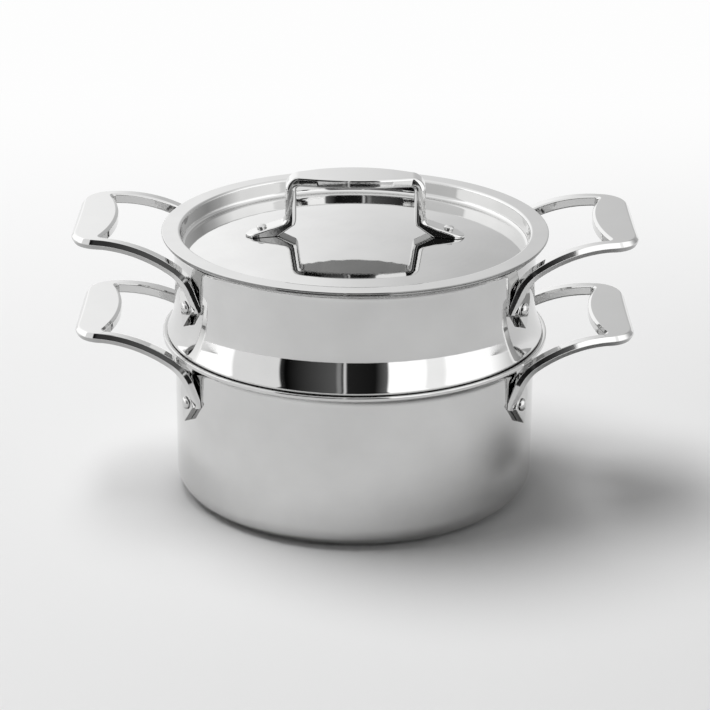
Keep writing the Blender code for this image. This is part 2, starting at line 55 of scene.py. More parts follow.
MM = 0.001
SCENE = bpy.context.scene


def add_object(name, data):
    """A new object with this data, in the scene."""
    made = bpy.data.objects.new(name, data)
    SCENE.collection.objects.link(made)
    return made


def aimed(place, axis):
    """The matrix that sets a thing at this place with its Z axis along this one."""
    return Matrix.Translation(place) @ axis.to_track_quat("Z", "Y").to_matrix().to_4x4()


def discard(*objects):
    for item in objects:
        bpy.data.objects.remove(item, do_unlink=True)


# %% [markdown]
# ## The camera
# The photograph looks down on the pot at about 21 degrees, from 1.47 m away. That was worked out from the
# ellipses of lid, rim and base, which the long lens keeps almost equally open.

# %% Camera
CAMERA_TARGET = Vector((0.3 * MM, 0.0, 76.7 * MM))
CAMERA_DISTANCE = 1469.9 * MM
CAMERA_RISE = radians(21.29)
CAMERA_ROLL = radians(0.34)
SENSOR = 36.0
FOCAL_PIXELS = 2522.1
FRAME_PIXELS = 710


def make_camera():
    """A camera on the side of -Y that looks down at the target."""
    data = bpy.data.cameras.new("camera")
    data.sensor_width = SENSOR
    data.lens = FOCAL_PIXELS / FRAME_PIXELS * SENSOR
    camera = add_object("camera", data)
    back = Vector((0.0, -cos(CAMERA_RISE), sin(CAMERA_RISE)))
    turn = Matrix.Rotation(pi / 2 - CAMERA_RISE, 4, "X") @ Matrix.Rotation(CAMERA_ROLL, 4, "Z")
    camera.matrix_world = Matrix.Translation(CAMERA_TARGET + CAMERA_DISTANCE * back) @ turn
    SCENE.camera = camera
    return camera


camera = make_camera()
SCENE.view_settings.view_transform = "Standard"
print("camera at", [round(value, 3) for value in camera.matrix_world.translation], "lens", camera.data.lens)

# %% [markdown]
# ## Expressions instead of wires
# Shader and geometry nodes are both full of small sums. A class that wraps a socket lets Python write them as
# expressions: `1 - mask` adds a Subtract node. Every other node comes from one method, `add`, which sets a
# node's options first and then feeds its sockets.

# %% Socket expressions
def operators(operation):
    """A socket's two methods for one kind of Math node: the socket as first term, and as second."""
    return (lambda self, other: self.sum(operation, self, other),
            lambda self, other: self.sum(operation, other, self))


class Socket:
    """An output socket that can be used in sums."""

    __add__, __radd__ = operators("ADD")
    __sub__, __rsub__ = operators("SUBTRACT")
    __mul__, __rmul__ = operators("MULTIPLY")
    __truediv__, __rtruediv__ = operators("DIVIDE")

    def __init__(self, tree, output):
        self.tree = tree
        self.output = output

    def sum(self, operation, *terms):
        """Any other Math node on these terms."""
        return self.tree.add("ShaderNodeMath", dict(enumerate(terms)), operation=operation)

    def part(self, name):
        """One named output of the same node."""
        return Socket(self.tree, self.output.node.outputs[name])

    def ramp(self, start, end):
        """A soft step from 0 at start to 1 at end."""
        inputs = {"Value": self, "From Min": start, "From Max": end}
        return self.tree.add("ShaderNodeMapRange", inputs, interpolation_type="SMOOTHSTEP", clamp=True)


class Tree:
    """A node tree that nodes are added to."""

    def __init__(self, nodes):
        self.nodes = nodes

    def feed(self, node, inputs):
        """Gives a node's sockets their links or values."""
        for name, value in inputs.items():
            if isinstance(value, Socket):
                self.nodes.links.new(value.output, node.inputs[name])
            else:
                node.inputs[name].default_value = value

    def add(self, kind, inputs=None, output=0, **settings):
        """A node of this kind, as one of its output sockets."""
        node = self.nodes.nodes.new(kind)
        for name, value in settings.items():
            setattr(node, name, value)
        self.feed(node, inputs or {})
        return Socket(self, node.outputs[output])

    def split(self, vector):
        """The three parts of a vector."""
        x = self.add("ShaderNodeSeparateXYZ", {"Vector": vector}, "X")
        return x, x.part("Y"), x.part("Z")

    def join(self, x, y, z):
        return self.add("ShaderNodeCombineXYZ", {"X": x, "Y": y, "Z": z}, "Vector")

    def tone(self, shade, blue=1.0):
        """The colour of a shade of grey, with its blue times this share."""
        return self.add("ShaderNodeCombineColor", {"Red": shade, "Green": shade, "Blue": shade * blue})

    def mix(self, factor, under, over):
        """A mix of two colours or greys, which are sockets 6 and 7 of a Mix node."""
        inputs = {"Factor": factor}
        for number, colour in ((6, under), (7, over)):
            inputs[number] = colour if isinstance(colour, Socket) else (colour, colour, colour, 1.0)
        return self.add("ShaderNodeMix", inputs, 2, data_type="RGBA")

    def bump(self, height, distance):
        """The normal of a relief of this height."""
        return self.add("ShaderNodeBump", {"Distance": distance, "Height": height}, "Normal")


# %% [markdown]
# ## Stainless steel
# Steel is a metal, so its whole look is base colour, roughness and relief. Three things keep it from looking
# like a plain mirror: lines from turning and polishing that run round the axis, slow blotches where the
# buffing wheel pressed harder, and a faint film that changes the gloss. Painted shade darkens the cut edges
# of the thin sheets, for the shadow line under the rims, and the faces of the castings that look down, for
# the shade under the arms. All of it is written on Object coordinates in metres.

# %% Steel finishes
STEEL_GREY, STEEL_BLUE = 0.64, 0.995
BLOTCH = 22 * MM
LINE_PITCH, LINE_LEAN, LINE_STRETCH = 0.35 * MM, 1.3, 25.0
LINE_TONE, BLOTCH_TONE = 0.03, 0.09
BLOTCH_GLOSS, FILM_GLOSS = 0.5, 0.4
# Painted shade on the sheets' cut edges lies just inside these widest corners of lid and insert.
CUT_EDGES = [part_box(node)[1] for node in ("lid_cover", "insert_body")]
CUT_START, CUT_FULL = 0.25 * MM, 0.1 * MM


def new_finish(name, metallic=1.0):
    """A new material, as (material, tree, surface node)."""
    made = bpy.data.materials.new(name)
    made.use_nodes = True
    surface = made.node_tree.nodes["Principled BSDF"]
    surface.inputs["Metallic"].default_value = metallic
    return made, Tree(made.node_tree), surface


def noise(tree, place, scale, detail=3.0, roughness=0.5):
    inputs = {"Vector": place, "Scale": scale, "Detail": detail, "Roughness": roughness}
    return tree.add("ShaderNodeTexNoise", inputs, "Fac")


def edge_shade_mask(reach, height):
    """Mask of the painted shade: the cut edges, just inside the widest radius of lid and insert, below their
    tops.
    """
    mask = 0.0
    for corner in CUT_EDGES:
        outside = reach.ramp(corner.x - CUT_START, corner.x - CUT_FULL)
        mask = mask + outside * (1 - height.ramp(corner.z - CUT_FULL, corner.z))
    return mask


def turned_steel(name, grey, gloss, line_relief, line_gloss, painted_edge_shade):
    """Sheet steel whose fine lines run round the Z axis, on walls as on floors."""
    made, tree, surface = new_finish(name)
    place = tree.add("ShaderNodeTexCoord", output="Object")
    x, y, z = tree.split(place)
    square = x * x + y * y
    reach = square.sum("POWER", square, 0.5)
    across = (reach + z * LINE_LEAN) / LINE_PITCH
    along = tree.join(x * LINE_STRETCH, y * LINE_STRETCH, across)
    lines = noise(tree, along, 1.0, detail=4.0, roughness=0.7)
    blotches = noise(tree, place, 1.0 / BLOTCH)
    film = noise(tree, place, 0.3 / BLOTCH, detail=5.0, roughness=0.6)
    rough = gloss + (lines - 0.5) * line_gloss + (blotches - 0.5) * BLOTCH_GLOSS * gloss
    rough = rough + (film - 0.5) * FILM_GLOSS * gloss
    shade = grey + (blotches - 0.5) * BLOTCH_TONE + (lines - 0.5) * LINE_TONE
    # Painted shade: the cut edges are darkened, for the shadow line under the rims of lid and insert.
    shade = shade * (1 - painted_edge_shade * edge_shade_mask(reach, z))
    tree.feed(surface, {"Roughness": rough, "Base Color": tree.tone(shade, STEEL_BLUE),
                        "Normal": tree.bump(lines, line_relief)})
    return made


# %% Cast steel
SCUFF_SCALE = (90.0, 1400.0, 1400.0)
SCUFF_GLOSS, SCUFF_RELIEF = 0.5, 0.15
PATCH_TONE = 0.04
# Painted shade on faces that look down: it starts and is full at these downward shares of the normal.
UNDER_START, UNDER_END = 0.25, 0.5
UNDER_PAINTED_SHADE = 0.42


def cast_steel(name, grey, gloss, grain, relief):
    """Cast and buffed steel: a slight orange peel, softer patches, fine scuffs and painted shade on faces
    that look down.
    """
    made, tree, surface = new_finish(name)
    place = tree.add("ShaderNodeTexCoord", output="Object")
    peel = noise(tree, place, 1.0 / grain, detail=2.0)
    patches = noise(tree, place, 1.0 / BLOTCH, detail=4.0, roughness=0.6)
    drawn = tree.add("ShaderNodeMapping", {"Vector": place, "Scale": SCUFF_SCALE})
    scuffs = noise(tree, drawn, 1.0, roughness=0.6)
    rough = gloss + (patches - 0.5) * gloss + (scuffs - 0.5) * SCUFF_GLOSS * gloss
    # Painted shade: faces that look down are darkened, for the shade under the arms and pads.
    upward = tree.split(tree.add("ShaderNodeTexCoord", output="Normal"))[2]
    under = (0 - upward).ramp(UNDER_START, UNDER_END)
    shade = (grey + (patches - 0.5) * PATCH_TONE) * (1 - UNDER_PAINTED_SHADE * under)
    tree.feed(surface, {"Roughness": rough, "Base Color": tree.tone(shade, STEEL_BLUE),
                        "Normal": tree.bump(peel + SCUFF_RELIEF * scuffs, relief)})
    return made


# The last number is the painted shade on the cut edges: none on the pot, 0.62 on the sheets.
POT_STEEL = turned_steel("pot_steel", grey=STEEL_GREY, gloss=0.05, line_relief=0.002 * MM, line_gloss=0.03,
                         painted_edge_shade=0.0)
SHEET_STEEL = turned_steel("sheet_steel", grey=STEEL_GREY + 0.02, gloss=0.035, line_relief=0.0012 * MM,
                           line_gloss=0.02, painted_edge_shade=0.62)
CAST_STEEL = cast_steel("cast_steel", grey=STEEL_GREY + 0.02, gloss=0.045, grain=1.6 * MM, relief=0.004 * MM)
RIVET_STEEL = cast_steel("rivet_steel", grey=STEEL_GREY - 0.03, gloss=0.09, grain=0.8 * MM, relief=0.006 * MM)
print("finishes", [item.name for item in (POT_STEEL, SHEET_STEEL, CAST_STEEL, RIVET_STEEL)])

# %% [markdown]
# ## Profiles
# A turned shell is known once its section is known. Sections are made of straight runs, arcs and fillets, and
# a sheet's second side is the first side moved by the sheet's thickness. Where a straight run meets an arc, a
# support point close to the joint keeps the smooth shading of the arc from creeping along the flat.

# %% Section helpers
MITRE_LIMIT = 0.5


def arc(centre, radius, start, end, steps):
    """Points of an arc in the section plane, both ends included."""
    turns = [start + (end - start) * i / steps for i in range(steps + 1)]
    return [(centre[0] + radius * cos(t), centre[1] + radius * sin(t)) for t in turns]


def fillet(before, corner, after, radius, steps):
    """Points of the arc that rounds the corner between two straight runs."""
    corner = Vector(corner)
    to_before = (Vector(before) - corner).normalized()
    to_after = (Vector(after) - corner).normalized()
    half = to_before.angle(to_after) / 2
    centre = corner + (to_before + to_after).normalized() * radius / sin(half)
    first = corner + to_before * radius / tan(half) - centre
    last = corner + to_after * radius / tan(half) - centre
    start = atan2(first.y, first.x)
    turn = (atan2(last.y, last.x) - start + pi) % (2 * pi) - pi
    return arc(centre, radius, start, start + turn, steps)


def other_side(side, sheet):
    """The side moved by the sheet's thickness, to the right of its direction."""
    points = [Vector(point) for point in side]
    moved = []
    for i, point in enumerate(points):
        ahead = (points[min(i + 1, len(points) - 1)] - point).normalized()
        behind = (point - points[max(i - 1, 0)]).normalized()
        if i == 0:
            behind = ahead
        if i == len(points) - 1:
            ahead = behind
        middle = (ahead + behind).normalized()
        normal = Vector((middle.y, -middle.x))
        moved.append(tuple(point + normal * sheet / max(MITRE_LIMIT, middle.dot(ahead))))
    return moved


def supported(section, near=0.4 * MM):
    """The section with support points near both ends of its long straight runs."""
    points = [section[0]]
    for before, after in zip(section, section[1:]):
        run = Vector(after) - Vector(before)
        if run.length > 4 * near:
            step = run.normalized() * near
            points.append(tuple(Vector(before) + step))
            points.append(tuple(Vector(after) - step))
        points.append(after)
    return points


def sheet_section(outer, sheet, rim):
    """Closed section of a sheet: out along its inner side, round a rim, and back along its outer side."""
    inner = other_side(outer, sheet)[::-1]
    inner[0] = (0.0, inner[0][1])
    top, bottom = inner[-1], outer[0]
    rounded = fillet(inner[-2], top, bottom, rim, steps=4) + fillet(top, bottom, outer[1], rim, steps=4)
    return supported(inner[:-1] + rounded + outer[1:])


# %% [markdown]
# ## A lathe in Geometry Nodes
# All three shells, and the rivets, are turned, so one tree makes them all. It bends a flat grid round the
# axis: a grid row reads its radius and height from the section's points, and a grid column is a turn. That
# keeps the section exact, and merging by distance closes the seam and the poles.

# %% Lathe tree
SEAM = 0.002 * MM


def new_tree(name, sizes):
    """An empty geometry tree with a Geometry input and these named sizes, as (tree, inputs)."""
    group = bpy.data.node_groups.new(name, "GeometryNodeTree")
    group.interface.new_socket("Geometry", in_out="OUTPUT", socket_type="NodeSocketGeometry")
    for size, kind in {"Geometry": "Geometry", **sizes}.items():
        group.interface.new_socket(size, in_out="INPUT", socket_type="NodeSocket" + kind)
    tree = Tree(group)
    return tree, tree.add("NodeGroupInput", output="Geometry")


def end_tree(tree, shape, finish):
    """Every tree ends in Realize Instances and Set Material."""
    real = tree.add("GeometryNodeRealizeInstances", {"Geometry": shape})
    smooth = tree.add("GeometryNodeSetShadeSmooth", {"Geometry": real})
    painted = tree.add("GeometryNodeSetMaterial", {"Geometry": smooth, "Material": finish})
    tree.feed(tree.nodes.nodes.new("NodeGroupOutput"), {"Geometry": painted})
    return tree.nodes


def lathe_tree(finish):
    """The tree that turns a section's points round the Z axis."""
    tree, given = new_tree("lathe", {"Section points": "Int", "Turns": "Int"})
    rows, turns = given.part("Section points"), given.part("Turns")
    grid = tree.add("GeometryNodeMeshGrid",
                    {"Size X": 1.0, "Size Y": 1.0, "Vertices X": rows, "Vertices Y": turns + 1}, "Mesh")
    place = tree.add("GeometryNodeInputPosition")
    across, along, _ = tree.split(place)
    row = across.sum("ROUND", (across + 0.5) * (rows - 1))
    turn = (along + 0.5) * (2 * pi)
    point = tree.add("GeometryNodeSampleIndex", {"Geometry": given, "Value": place, "Index": row},
                     data_type="FLOAT_VECTOR")
    radius, _, height = tree.split(point)
    bent = tree.join(radius * turn.sum("COSINE", turn), radius * turn.sum("SINE", turn), height)
    moved = tree.add("GeometryNodeSetPosition", {"Geometry": grid, "Position": bent})
    closed = tree.add("GeometryNodeMergeByDistance", {"Geometry": moved, "Distance": SEAM})
    return end_tree(tree, closed, finish)


# %% Running a tree
def worked_in(piece):
    """A new mesh of an object with its modifiers worked in."""
    graph = bpy.context.evaluated_depsgraph_get()
    return bpy.data.meshes.new_from_object(piece.evaluated_get(graph), depsgraph=graph)


def run_tree(name, group, points, sizes, crease=35):
    """Runs a tree on loose points and keeps the result as a plain mesh object with its place in its mesh."""
    seed = bpy.data.meshes.new(name + "_points")
    seed.from_pydata(points, [], [])
    maker = add_object(name + "_maker", seed)
    modifier = maker.modifiers.new("nodes", "NODES")
    modifier.node_group = group
    for item in group.interface.items_tree:
        if item.in_out == "INPUT" and item.name in sizes:
            modifier[item.identifier] = sizes[item.name]
    mesh = worked_in(maker)
    discard(maker)
    mesh.name = name
    mesh.set_sharp_from_angle(angle=radians(crease))
    print(name, len(mesh.vertices), "vertices", len(mesh.polygons), "faces")
    return add_object(name, mesh)


def turned(name, section, finish, turns=240):
    """The shape that a closed section makes round the Z axis."""
    points = [(radius, 0.0, height) for radius, height in section]
    return run_tree(name, lathe_tree(finish), points, {"Section points": len(points), "Turns": turns})


# %% [markdown]
# ## The pot
# A saucepot is drawn from one disc of layered sheet, so it has a generous corner at the base and no seam. Its
# mouth is rolled outwards into a lip that pours cleanly, and the lip's cut edge is ground and polished: it is
# the bright line under the insert.

# %% Pot shell
POT_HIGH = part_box("pot_body")[1]
POT_SHEET = 2.4 * MM
POT_CORNER = 12 * MM
POT_LIP = 7 * MM
POT_RADIUS = POT_HIGH.x - POT_LIP
POT_HEIGHT = POT_HIGH.z


def rolled_lip(wall, lip, height, steps):
    """Underside of a rolled-out lip, from its edge in and down to the wall."""
    end = (wall + lip, height)
    return [end] + fillet(end, (wall, height), (wall, 0.0), lip, steps)[1:]


def make_pot():
    lip = rolled_lip(POT_RADIUS, POT_LIP, POT_HEIGHT - POT_SHEET, steps=14)
    corner = fillet(lip[-1], (POT_RADIUS, 0.0), (0.0, 0.0), POT_CORNER, steps=14)
    side = lip + corner + [(0.0, 0.0)]
    return turned("pot_shell", sheet_section(side, POT_SHEET, rim=0.5 * MM), POT_STEEL)


pot_shell = make_pot()

# %% [markdown]
# ## The insert
# The insert is the clever piece: from a straight wall it flares out in a concave band to a small round nose,
# turns back under itself along an arc that is concentric with the pot's lip, and goes on as a narrower
# basket. The band faces the camera and mirrors the whole studio.

# %% Insert section
INSERT_LOW, INSERT_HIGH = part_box("insert_body")
INSERT_SHEET = 1.2 * MM
INSERT_LIP = 5.8 * MM
INSERT_TOP = INSERT_HIGH.z
INSERT_RADIUS = INSERT_HIGH.x - INSERT_LIP
INSERT_LIP_STEPS = 12
SEAT_GAP = 0.3 * MM
SEAT_TURNS = (radians(112), radians(150))
NOSE_RADIUS = 1.6 * MM
BAND_TURN = radians(26)
BAND_STEPS = 26
BASKET_RADIUS = 98.4 * MM
BASKET_TAPER = 0.6 * MM
BASKET_FLOOR = INSERT_LOW.z
BASKET_SHOULDER = 5 * MM
BASKET_CORNER = 6 * MM


def insert_side():
    """Outer side of the insert, from its lip down to the middle of its floor."""
    lip_centre = (POT_RADIUS + POT_LIP, POT_HEIGHT - POT_SHEET - POT_LIP)
    seat = arc(lip_centre, POT_LIP + POT_SHEET + SEAT_GAP, *SEAT_TURNS, steps=14)
    turn, steep = SEAT_TURNS
    start = seat[0]
    nose_centre = (start[0] + NOSE_RADIUS * cos(turn), start[1] + NOSE_RADIUS * sin(turn))
    nose = arc(nose_centre, NOSE_RADIUS, BAND_TURN, turn - pi, steps=14)
    band_radius = (nose[0][0] - INSERT_RADIUS) / (1 - cos(BAND_TURN))
    band_centre = (INSERT_RADIUS + band_radius, nose[0][1] + band_radius * sin(BAND_TURN))
    band = arc(band_centre, band_radius, pi, pi + BAND_TURN, BAND_STEPS)
    fall = (seat[-1][0] - BASKET_RADIUS) / sin(steep)
    shoulder = (BASKET_RADIUS, seat[-1][1] + fall * cos(steep))
    floor_edge = (BASKET_RADIUS - BASKET_TAPER, BASKET_FLOOR)
    middle = (0.0, BASKET_FLOOR)
    lip = rolled_lip(INSERT_RADIUS, INSERT_LIP, INSERT_TOP - INSERT_SHEET, INSERT_LIP_STEPS)
    return (lip + band + nose[1:-1] + seat + fillet(seat[-1], shoulder, floor_edge, BASKET_SHOULDER, steps=6)
            + fillet(shoulder, floor_edge, middle, BASKET_CORNER, steps=10) + [middle])


# %% [markdown]
# ## Holes for the steam
# The basket's floor is punched with rings of six, twelve, eighteen holes and so on round a centre hole. Hole
# number i lies in ring ceil((sqrt(9 + 12 i) - 3) / 6), which follows from 1 + 3 n (n + 1) holes in n rings.
# The tree places a punch at each number and takes all the punches out of the floor in one Boolean.

# %% Punched floor
HOLE_PITCH = 15 * MM
HOLE_RADIUS = 2.8 * MM
HOLE_RINGS = 5
HOLE_SIDES = 24
PUNCH_DEPTH = 6 * MM
ROUNDING_GUARD = 0.0001


def punch_tree(finish):
    sizes = {"Rings": "Int", "Pitch": "Float", "Hole radius": "Float", "Floor": "Float", "Shell": "Object"}
    tree, given = new_tree("punched_floor", sizes)
    rings = given.part("Rings")
    points = tree.add("GeometryNodePoints", {"Count": 3 * rings * (rings + 1) + 1})
    number = tree.add("GeometryNodeInputIndex")
    ring = number.sum("CEIL", (number.sum("SQRT", number * 12 + 9) - 3) / 6 - ROUNDING_GUARD)
    before = 3 * ring * (ring - 1) + 1
    turn = (number - before) / ring.sum("MAXIMUM", ring, 1) * (pi / 3)
    reach = ring * given.part("Pitch")
    place = tree.join(reach * turn.sum("COSINE", turn), reach * turn.sum("SINE", turn), given.part("Floor"))
    placed = tree.add("GeometryNodeSetPosition", {"Geometry": points, "Position": place})
    sizes = {"Vertices": HOLE_SIDES, "Radius": given.part("Hole radius"), "Depth": PUNCH_DEPTH}
    punch = tree.add("GeometryNodeMeshCylinder", sizes, "Mesh")
    punches = tree.add("GeometryNodeInstanceOnPoints", {"Points": placed, "Instance": punch})
    real = tree.add("GeometryNodeRealizeInstances", {"Geometry": punches})
    shell = tree.add("GeometryNodeObjectInfo", {"Object": given.part("Shell")}, "Geometry")
    cut = tree.add("GeometryNodeMeshBoolean", {"Mesh 1": shell, "Mesh 2": real},
                   operation="DIFFERENCE", solver="EXACT")
    return end_tree(tree, cut, finish)


def make_insert():
    section = sheet_section(insert_side(), INSERT_SHEET, rim=0.35 * MM)
    blank = turned("insert_blank", section, SHEET_STEEL)
    sizes = {"Rings": HOLE_RINGS, "Pitch": HOLE_PITCH, "Hole radius": HOLE_RADIUS,
             "Floor": BASKET_FLOOR + INSERT_SHEET / 2, "Shell": blank}
    made = run_tree("insert_shell", punch_tree(SHEET_STEEL), [(0.0, 0.0, 0.0)], sizes)
    discard(blank)
    return made


insert_shell = make_insert()

# %% [markdown]
# ## The lid
# The lid is sunk: a flange lies on the insert's rim, a short wall drops into its mouth, and a shallow dome
# closes it. The moat that this leaves round the dome mirrors the flange and the wall many times over, and
# that gives the lid its rings of light and dark.

# %% Lid shell
LID_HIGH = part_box("lid_cover")[1]
LID_SHEET = 1.2 * MM
LID_TOP = LID_HIGH.z
DOME_SINK = 2 * MM
DOME_TOP = LID_TOP - DOME_SINK
DOME_RADIUS = 588 * MM
DOME_STEPS = 24
PLUG_SPACE = 1.4 * MM
PLUG_WALL = INSERT_RADIUS - INSERT_SHEET - PLUG_SPACE - LID_SHEET
LID_FOOT = 2.5 * MM
LID_BROW = 1.5 * MM


def dome_height(reach):
    """Height of the lid's dome at this distance from the axis."""
    return DOME_TOP - DOME_RADIUS + sqrt(DOME_RADIUS ** 2 - reach ** 2)


def dome_line(reach, lift=0.0):
    """The dome's line from the axis out to this reach, with a lift."""
    steps = [reach * i / DOME_STEPS for i in range(DOME_STEPS + 1)]
    return [(step, dome_height(step) + lift) for step in steps]


def make_lid():
    dome = dome_line(PLUG_WALL - 2 * LID_FOOT)
    foot = (PLUG_WALL, dome_height(PLUG_WALL))
    brow = (PLUG_WALL, LID_TOP)
    rim = (LID_HIGH.x, LID_TOP)
    foot_bend = fillet(dome[-1], foot, brow, LID_FOOT, steps=10)
    top = dome + foot_bend + fillet(foot, brow, rim, LID_BROW, steps=8) + [rim]
    section = sheet_section(other_side(top, LID_SHEET)[::-1], LID_SHEET, rim=0.4 * MM)
    return turned("lid_shell", section, SHEET_STEEL)


lid_shell = make_lid()

# %% [markdown]
# ## The side handles
# Each handle is one casting: a flat grip pad, two arms that spread and bend down onto the wall, and a pointed
# lug at the foot of each arm. A loft suits it, because the section stays much the same from the pad to the
# tip of the arm: flat on top, with two facets outside that meet in a crease.

# %% Side handle: plan of the pad
HANDLE_THICKNESS = 6 * MM
PAD_DEPTH = 23.7 * MM
PAD_CORNER = 18 * MM
PAD_BOW = 113 * MM
PAD_FILLET = 2.5 * MM
INNER_START, INNER_SPREAD = 36.8 * MM, 0.167
OUTER_START, OUTER_SPREAD = 42.2 * MM, 0.224
ARM_SLANT = 1 * MM
PAD_SLANT = 2.6 * MM
ARM_BEVEL = (0.9 * MM, 0.9 * MM)
PAD_BEVEL = (1.6 * MM, 1.1 * MM)
BEVEL_FADE = 0.75
ARM_ROUND, PAD_ROUND = 0.35 * MM, 1.4 * MM


def between(start, end, share):
    return start + (end - start) * share


def soft_share(share):
    """A share that starts and ends gently."""
    return share * share * (3 - 2 * share)


def pad_fillet_centre():
    """Centre of the small arc between the pad's bowed inner edge and an arm, as (inset, spread)."""
    level = INNER_START - PAD_FILLET * hypot(1.0, INNER_SPREAD)
    bow = PAD_BOW - PAD_DEPTH
    a = 1 + INNER_SPREAD ** 2
    b = bow + INNER_SPREAD * level
    c = bow ** 2 + level ** 2 - (PAD_BOW + PAD_FILLET) ** 2
    inset = (-b + sqrt(b * b - a * c)) / a
    return inset, INNER_SPREAD * inset + level


def pad_stations(steps, corner_steps):
    """Half the pad's stations: inner and outer point, drop, slope, scale, slant, bevel and outer rounding."""
    inset, spread = pad_fillet_centre()
    bow_turn = atan2(spread, inset + PAD_BOW - PAD_DEPTH)
    arm_turn = atan(OUTER_SPREAD)
    corner_spread = OUTER_START + OUTER_SPREAD * PAD_CORNER - PAD_CORNER / cos(arm_turn)
    stations = []
    for i in range(steps):
        turn = bow_turn * i / steps
        inner = (PAD_DEPTH - PAD_BOW * (1 - cos(turn)), PAD_BOW * sin(turn))
        outer = (0.0, corner_spread * i / steps)
        stations.append((inner, outer, 0.0, 0.0, 1.0, PAD_SLANT, PAD_BEVEL, PAD_ROUND))
    for i in range(corner_steps + 1):
        share = i / corner_steps
        inner_turn = between(-bow_turn, pi / 2 - atan(INNER_SPREAD), share)
        outer_turn = between(0.0, pi / 2 - arm_turn, share)
        inner = (inset - PAD_FILLET * cos(inner_turn), spread + PAD_FILLET * sin(inner_turn))
        outer = (PAD_CORNER * (1 - cos(outer_turn)), corner_spread + PAD_CORNER * sin(outer_turn))
        fade = soft_share(max(0.0, share - BEVEL_FADE) / (1 - BEVEL_FADE))
        bevel = tuple(between(pad, arm, fade) for pad, arm in zip(PAD_BEVEL, ARM_BEVEL))
        slant = between(PAD_SLANT, ARM_SLANT, soft_share(share))
        round_off = between(PAD_ROUND, ARM_ROUND, soft_share(share))
        stations.append((inner, outer, 0.0, 0.0, 1.0, slant, bevel, round_off))
    return stations


# %% Side handle: the arms
ARM_BENDS = ((82 * MM, radians(32), 18), (27 * MM, radians(70), 14))
TIP_STEPS = 10
TIP_STAND = -1 * MM
TIP_SCALE = 0.8
TIP_WIDTH = 0.42
TIP_SLANT = 0.3 * MM
STRAIGHTENING = (radians(14), radians(44))


def arm_stations(reach, rise):
    """Stations along an arm, which bends down onto the wall and narrows to its tip."""
    run, drop, slope = 0.0, 0.0, 0.0
    path = []
    for radius, last_slope, steps in ARM_BENDS:
        turn = (last_slope - slope) / steps
        for _ in range(steps):
            run += radius * (sin(slope + turn) - sin(slope))
            drop += radius * (cos(slope) - cos(slope + turn))
            slope += turn
            path.append((run, drop, slope, 1.0, 1.0))
    fall = (rise - drop) / TIP_STEPS
    for i in range(TIP_STEPS):
        run += fall / tan(slope)
        drop += fall
        share = (i + 1) / TIP_STEPS
        path.append((run, drop, slope, between(1.0, TIP_SCALE, share), between(1.0, TIP_WIDTH, share)))
    start = reach - TIP_STAND - run
    stations = []
    for run, drop, slope, scale, narrow in path:
        inset = start + run
        outer = OUTER_START + OUTER_SPREAD * inset
        width = outer - INNER_START - INNER_SPREAD * inset
        share = (slope - STRAIGHTENING[0]) / (STRAIGHTENING[1] - STRAIGHTENING[0])
        slant = between(ARM_SLANT, TIP_SLANT, soft_share(min(1.0, max(0.0, share))))
        inner = outer - width * narrow
        stations.append(((inset, inner), (inset, outer), drop, slope, scale, slant, ARM_BEVEL, ARM_ROUND))
    return stations


# %% Side handle: its section and rings
CREASE_DROP = 3 * MM
LOWER_SLANT = 2 * MM
INNER_ROUND = 0.5 * MM
UNDER_ROUND = 0.9 * MM
UPPER_SHARE, LOWER_SHARE = 0.3, 0.4
RUN_SHARE = 0.45
SUPPORT_LEAD = 0.5


def rounded_loop(corners, radii, steps=4):
    """A closed outline with its corners rounded, and support points that keep the runs between them flat."""
    loop = []
    for i, (corner, radius) in enumerate(zip(corners, radii)):
        before, after = corners[i - 1], corners[(i + 1) % len(corners)]
        reach = RUN_SHARE * min(dist(corner, before), dist(corner, after))
        to_before, to_after = (Vector(end) - Vector(corner) for end in (before, after))
        half = to_before.angle(to_after) / 2
        bend = fillet(before, corner, after, min(radius, reach * tan(half)), steps)
        lead = SUPPORT_LEAD * (Vector(bend[1]) - Vector(bend[0])).length
        first = Vector(bend[0]) + to_before.normalized() * lead
        last = Vector(bend[-1]) + to_after.normalized() * lead
        loop += [tuple(first)] + bend + [tuple(last)]
    return loop


def handle_section(width, scale, slant, bevel, round_off):
    """Section of the casting, as (across, down) from its inner top edge."""
    depth = HANDLE_THICKNESS * scale
    most = UPPER_SHARE * width
    lower = min(LOWER_SLANT, LOWER_SHARE * width)
    corners = [(min(bevel[0], most), 0.0), (width - min(slant * scale, most), 0.0),
               (width, CREASE_DROP * scale), (width - lower, depth), (0.0, depth), (0.0, min(bevel[1], most))]
    return rounded_loop(corners, [INNER_ROUND, round_off, round_off, UNDER_ROUND, UNDER_ROUND, INNER_ROUND])


def handle_rings(root, reach, rise):
    """Rings of points of half a side handle, from the middle of its pad to the tip of its arm."""
    rings = []
    stations = pad_stations(steps=12, corner_steps=16) + arm_stations(reach, rise)
    for inner, outer, drop, slope, scale, slant, bevel, round_off in stations:
        across = Vector((inner[0] - outer[0], outer[1] - inner[1]))
        width = across.length
        across = across / width
        ring = []
        for along, down in handle_section(width, scale, slant, bevel, round_off):
            x = root + reach - inner[0] + across.x * along + sin(slope) * down
            ring.append((x, inner[1] + across.y * along, rise - drop - cos(slope) * down))
        rings.append(ring)
    return rings


# %% Lofting
def mirrored(ring, axis):
    return [tuple(-value if i == axis else value for i, value in enumerate(point)) for point in ring]


